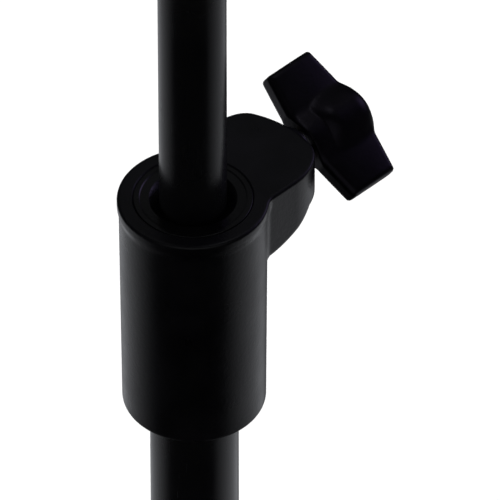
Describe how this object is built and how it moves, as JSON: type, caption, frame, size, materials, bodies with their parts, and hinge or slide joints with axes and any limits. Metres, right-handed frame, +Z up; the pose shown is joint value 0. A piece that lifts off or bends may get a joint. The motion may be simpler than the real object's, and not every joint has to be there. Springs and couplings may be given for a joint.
{
  "type": "folding music stand",
  "caption": "Free-standing music stand with a tilting desk on a telescoping column, a screw clutch for the height and folding legs on rubber feet.",
  "frame": {"origin": "on the column's axis at floor level, midway between the desk's two sides", "axes": "+Z up along the column, the player stands at -Y facing the desk, +X to the player's right"},
  "size_m": [0.508, 0.4358, 1.1889],
  "materials": {
    "powder_coat": "semi-gloss black powder coat",
    "desk_coat": "fine-textured satin black powder coat",
    "cast_black": "satin black coated casting",
    "moulded_black": "moulded black nylon with a fine grain",
    "zinc_steel": "zinc-plated steel",
    "black_steel": "black oxide steel",
    "brass": "turned brass",
    "white_nylon": "natural nylon",
    "rubber": "matt black rubber"
  },
  "bodies": {
    "base": {"base_hub": "cast_black", "hub_bolt": "zinc_steel", "hub_washer": "zinc_steel", "tube_plug": "zinc_steel", "leg_pins": "black_steel", "leg_washers": "white_nylon", "lower_tube": "powder_coat", "clutch_housing": "moulded_black", "clutch_bush": "moulded_black", "clutch_insert": "brass", "clutch_set_screw": "black_steel"},
    "leg_1": {"leg_root_1": "cast_black", "leg_tube_1": "powder_coat", "leg_foot_1": "rubber"},
    "leg_2": {"leg_root_2": "cast_black", "leg_tube_2": "powder_coat", "leg_foot_2": "rubber"},
    "leg_3": {"leg_root_3": "cast_black", "leg_tube_3": "powder_coat", "leg_foot_3": "rubber"},
    "pad": {"pressure_pad": "white_nylon"},
    "clamp": {"clamp_screw": "zinc_steel", "clamp_knob": "moulded_black"},
    "guide": {"guide_plug": "white_nylon"},
    "mast": {"upper_tube": "powder_coat", "guide_pins": "zinc_steel", "tilt_head": "cast_black", "head_set_screws": "black_steel", "friction_washers": "white_nylon"},
    "desk": {"desk_panel": "desk_coat", "music_ledge": "desk_coat", "desk_bracket": "desk_coat", "bracket_rivets": "black_steel", "ledge_rivets": "black_steel", "tilt_bolt": "zinc_steel"},
    "washer": {"knob_washer": "zinc_steel"},
    "tilt_knob": {"tilt_knob": "moulded_black"}
  },
  "joints": [
    {"name": "column_slide", "type": "slide", "parent": "base", "child": "guide", "axis": [0, 0, 1], "range_m": [-0.2, 0.2]},
    {"name": "column_swivel", "type": "hinge", "parent": "guide", "child": "mast", "pos_m": [0, 0, 0.6], "axis": [0, 0, 1], "continuous": true},
    {"name": "pad_slide", "type": "slide", "parent": "base", "child": "pad", "axis": [0.7071, 0.7071, 0], "range_m": [0, 0.00187]},
    {"name": "clamp_turn", "type": "hinge", "parent": "pad", "child": "clamp", "pos_m": [0, 0, 0.593], "axis": [0.7071, 0.7071, 0], "range_deg": [0, 541]},
    {"name": "desk_tilt", "type": "hinge", "parent": "mast", "child": "desk", "pos_m": [0, 0, 1.011], "axis": [1, 0, 0], "range_deg": [-70, 20]},
    {"name": "washer_slide", "type": "slide", "parent": "desk", "child": "washer", "axis": [1, 0, 0], "range_m": [0, 0.001]},
    {"name": "tilt_knob_turn", "type": "hinge", "parent": "washer", "child": "tilt_knob", "pos_m": [0, 0, 1.011], "axis": [1, 0, 0], "range_deg": [0, 361]},
    {"name": "leg_fold_1", "type": "hinge", "parent": "base", "child": "leg_1", "pos_m": [0.033, 0, 0.08], "axis": [0, 1, 0], "range_deg": [0, 71]},
    {"name": "leg_fold_2", "type": "hinge", "parent": "base", "child": "leg_2", "pos_m": [-0.0165, 0.02858, 0.08], "axis": [-0.866, -0.5, 0], "range_deg": [0, 71]},
    {"name": "leg_fold_3", "type": "hinge", "parent": "base", "child": "leg_3", "pos_m": [-0.0165, -0.02858, 0.08], "axis": [0.866, -0.5, 0], "range_deg": [0, 71]}
  ],
  "couplings": [
    {"joint": "clamp_turn", "follows": "pad_slide", "rad_per_m": 5026.5},
    {"joint": "tilt_knob_turn", "follows": "washer_slide", "rad_per_m": 6283.2}
  ]
}
